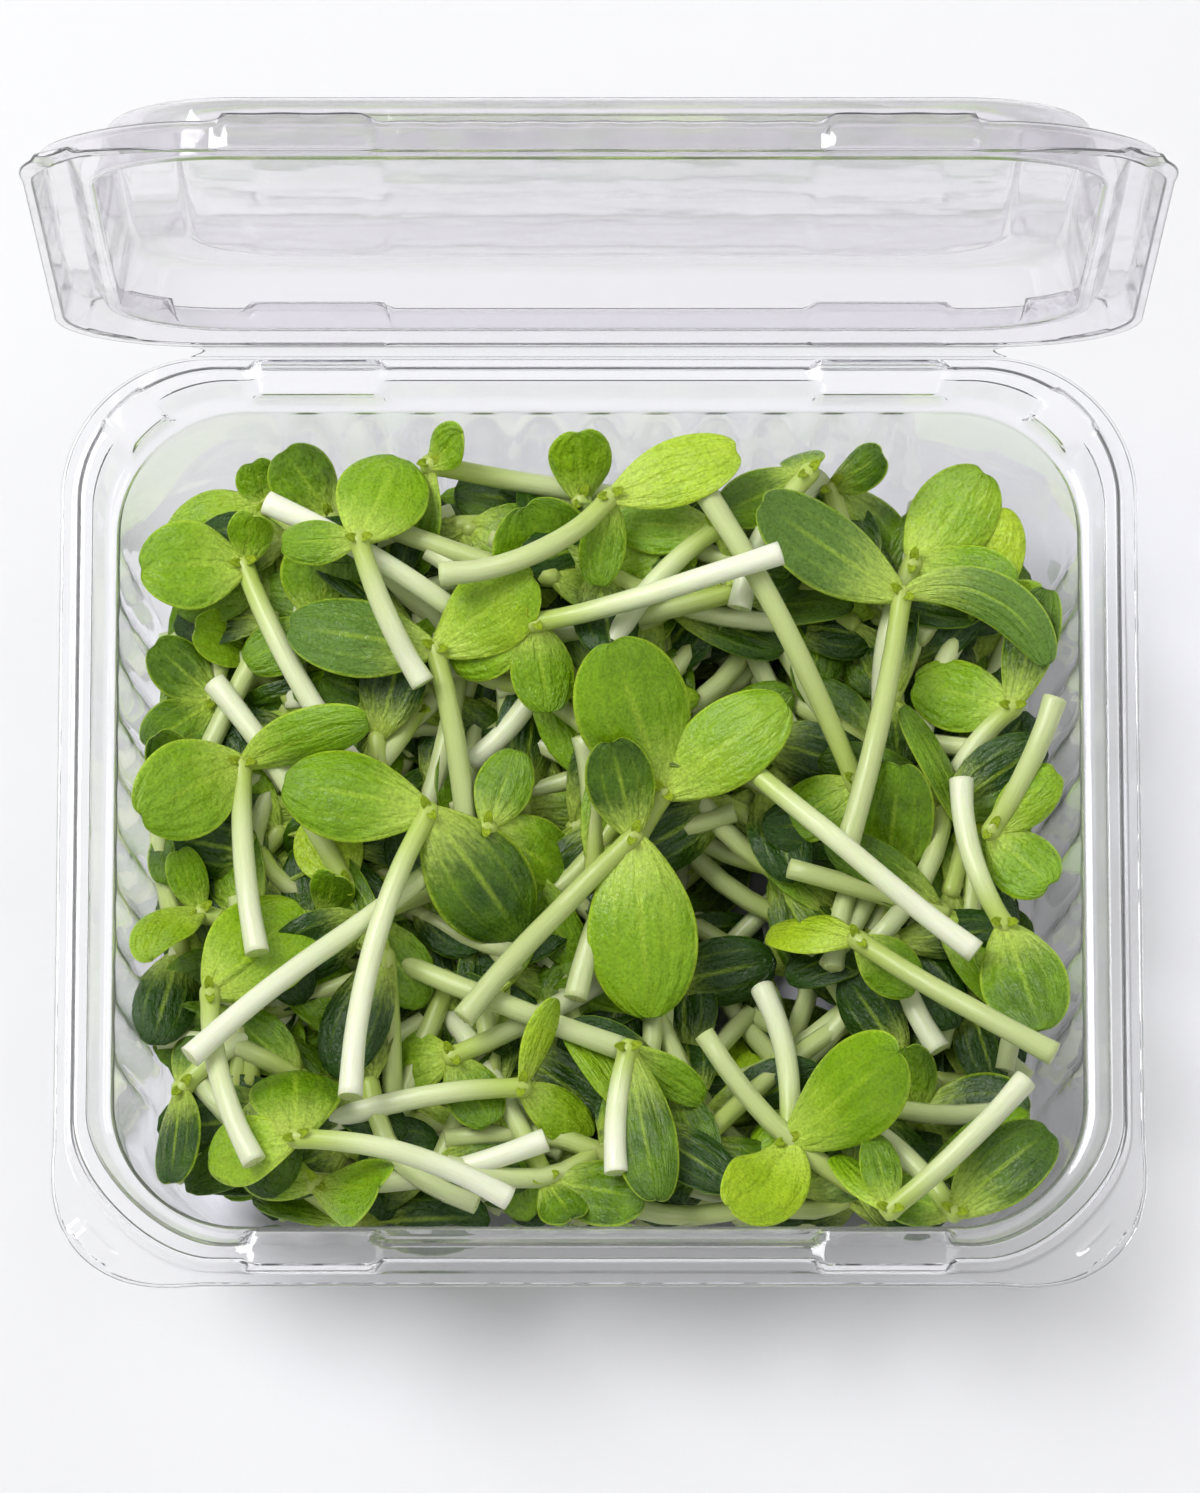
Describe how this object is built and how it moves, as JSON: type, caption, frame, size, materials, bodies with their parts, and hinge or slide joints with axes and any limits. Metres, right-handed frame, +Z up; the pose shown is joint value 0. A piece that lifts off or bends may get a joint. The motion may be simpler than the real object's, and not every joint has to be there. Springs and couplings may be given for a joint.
{
  "type": "sunflower microgreens tray",
  "caption": "Clear hinged clamshell tray with its lid standing open, filled with loose cut sunflower shoots: pale stems and paired oval seed leaves",
  "frame": {"origin": "the middle of the tray's flat underside, on the surface that it stands on", "axes": "+X right, +Y back towards the hinge, +Z up"},
  "size_m": [0.184, 0.1746, 0.2136],
  "materials": {
    "clear_plastic": "clear glossy thermoformed sheet",
    "shoot_green": "fresh satin leaf with a pale glossy stem",
    "bed_green": "packed fresh shoots in shade"
  },
  "bodies": {
    "root": {"tray": "clear_plastic", "greens_bed": "bed_green", "shoot_01": "shoot_green", "shoot_02": "shoot_green", "shoot_03": "shoot_green", "shoot_04": "shoot_green", "shoot_05": "shoot_green", "shoot_06": "shoot_green", "shoot_07": "shoot_green", "shoot_08": "shoot_green", "shoot_09": "shoot_green", "shoot_10": "shoot_green", "shoot_11": "shoot_green", "shoot_12": "shoot_green", "shoot_13": "shoot_green", "shoot_14": "shoot_green", "shoot_15": "shoot_green", "shoot_16": "shoot_green", "shoot_17": "shoot_green", "shoot_18": "shoot_green", "shoot_19": "shoot_green", "shoot_20": "shoot_green", "shoot_21": "shoot_green", "shoot_22": "shoot_green", "shoot_23": "shoot_green", "shoot_24": "shoot_green", "shoot_25": "shoot_green", "shoot_26": "shoot_green", "shoot_27": "shoot_green", "shoot_28": "shoot_green", "shoot_29": "shoot_green", "shoot_30": "shoot_green", "shoot_31": "shoot_green", "shoot_32": "shoot_green", "shoot_33": "shoot_green", "shoot_34": "shoot_green", "shoot_35": "shoot_green", "shoot_36": "shoot_green", "shoot_37": "shoot_green", "shoot_38": "shoot_green", "shoot_39": "shoot_green", "shoot_40": "shoot_green", "shoot_41": "shoot_green", "shoot_42": "shoot_green", "shoot_43": "shoot_green", "shoot_44": "shoot_green", "shoot_45": "shoot_green", "shoot_46": "shoot_green", "shoot_47": "shoot_green", "shoot_48": "shoot_green", "shoot_49": "shoot_green", "shoot_50": "shoot_green", "shoot_51": "shoot_green", "shoot_52": "shoot_green", "shoot_53": "shoot_green", "shoot_54": "shoot_green"},
    "lid": {"lid": "clear_plastic"}
  },
  "joints": [
    {"name": "lid_hinge", "type": "hinge", "parent": "root", "child": "lid", "pos_m": [0, 0.0827, 0.05025], "axis": [-1, 0, 0], "range_deg": [-84, 96]}
  ]
}
